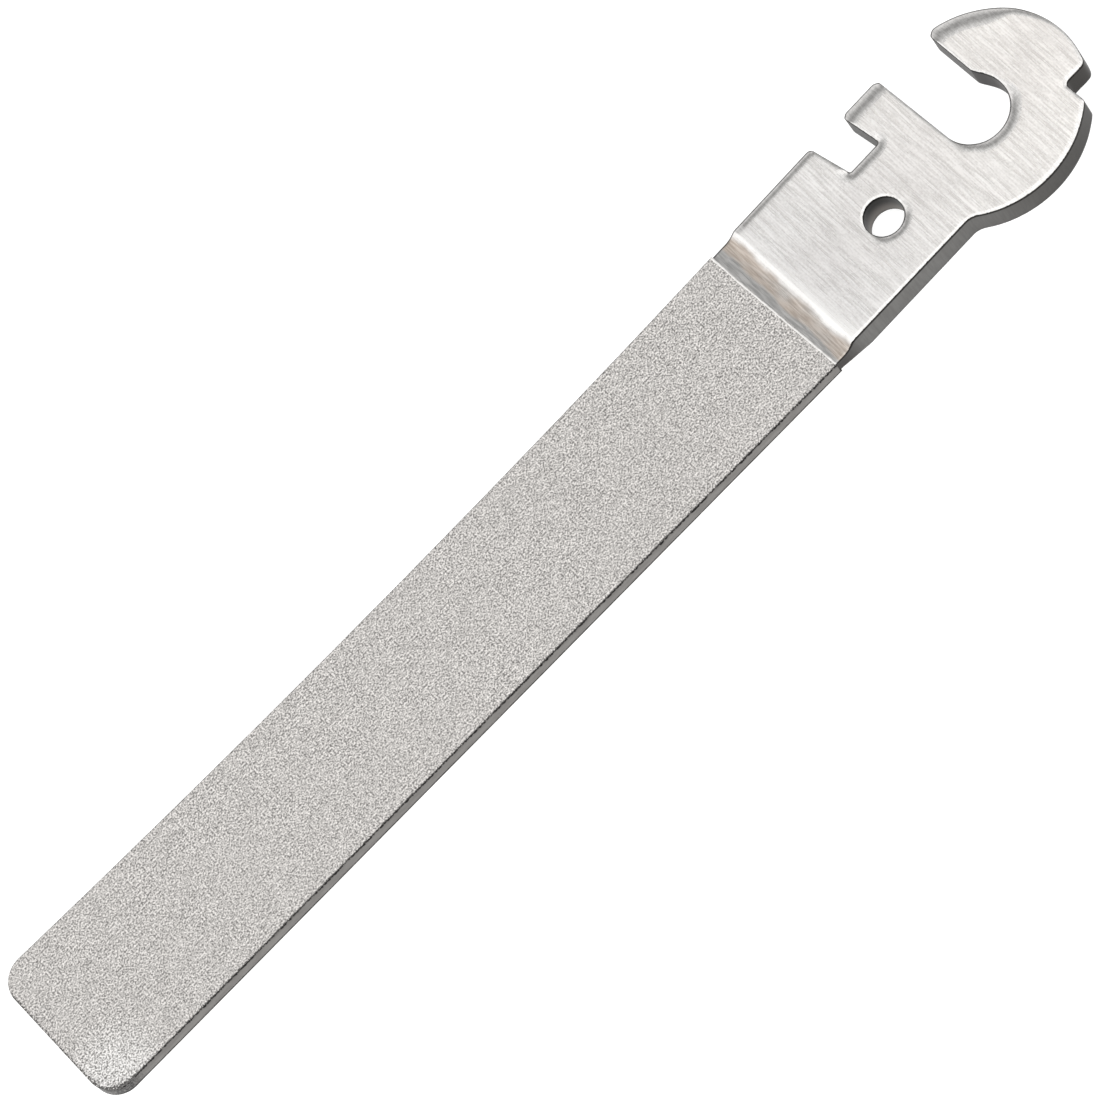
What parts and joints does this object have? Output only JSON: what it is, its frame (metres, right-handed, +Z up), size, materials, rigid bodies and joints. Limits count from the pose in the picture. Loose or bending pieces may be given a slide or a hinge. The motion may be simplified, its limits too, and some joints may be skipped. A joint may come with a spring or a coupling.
{
  "type": "quick-change diamond file blade",
  "caption": "Flat diamond-coated file blade with a thicker bare steel tang ending in an open hook, for a folding pliers tool.",
  "frame": {"origin": "middle of the bottom of the whole file, lying flat on its lower face", "axes": "+X along the body from the tip to the hook, +Y across towards the side that the hook opens to, +Z up through the thickness"},
  "size_m": [0.1008, 0.0154, 0.0024],
  "materials": {
    "bare_steel": "stainless steel, ground across its width, with rolled edges and darker sheared edge walls",
    "nickel_plating": "satin electroplated nickel",
    "diamond_grit": "fine diamond grit held in electroplated nickel, dull and sparkling"
  },
  "bodies": {
    "root": {"blank": "bare_steel", "edge_plating": "nickel_plating", "front_grit": "diamond_grit", "back_grit": "diamond_grit"}
  },
  "joints": []
}
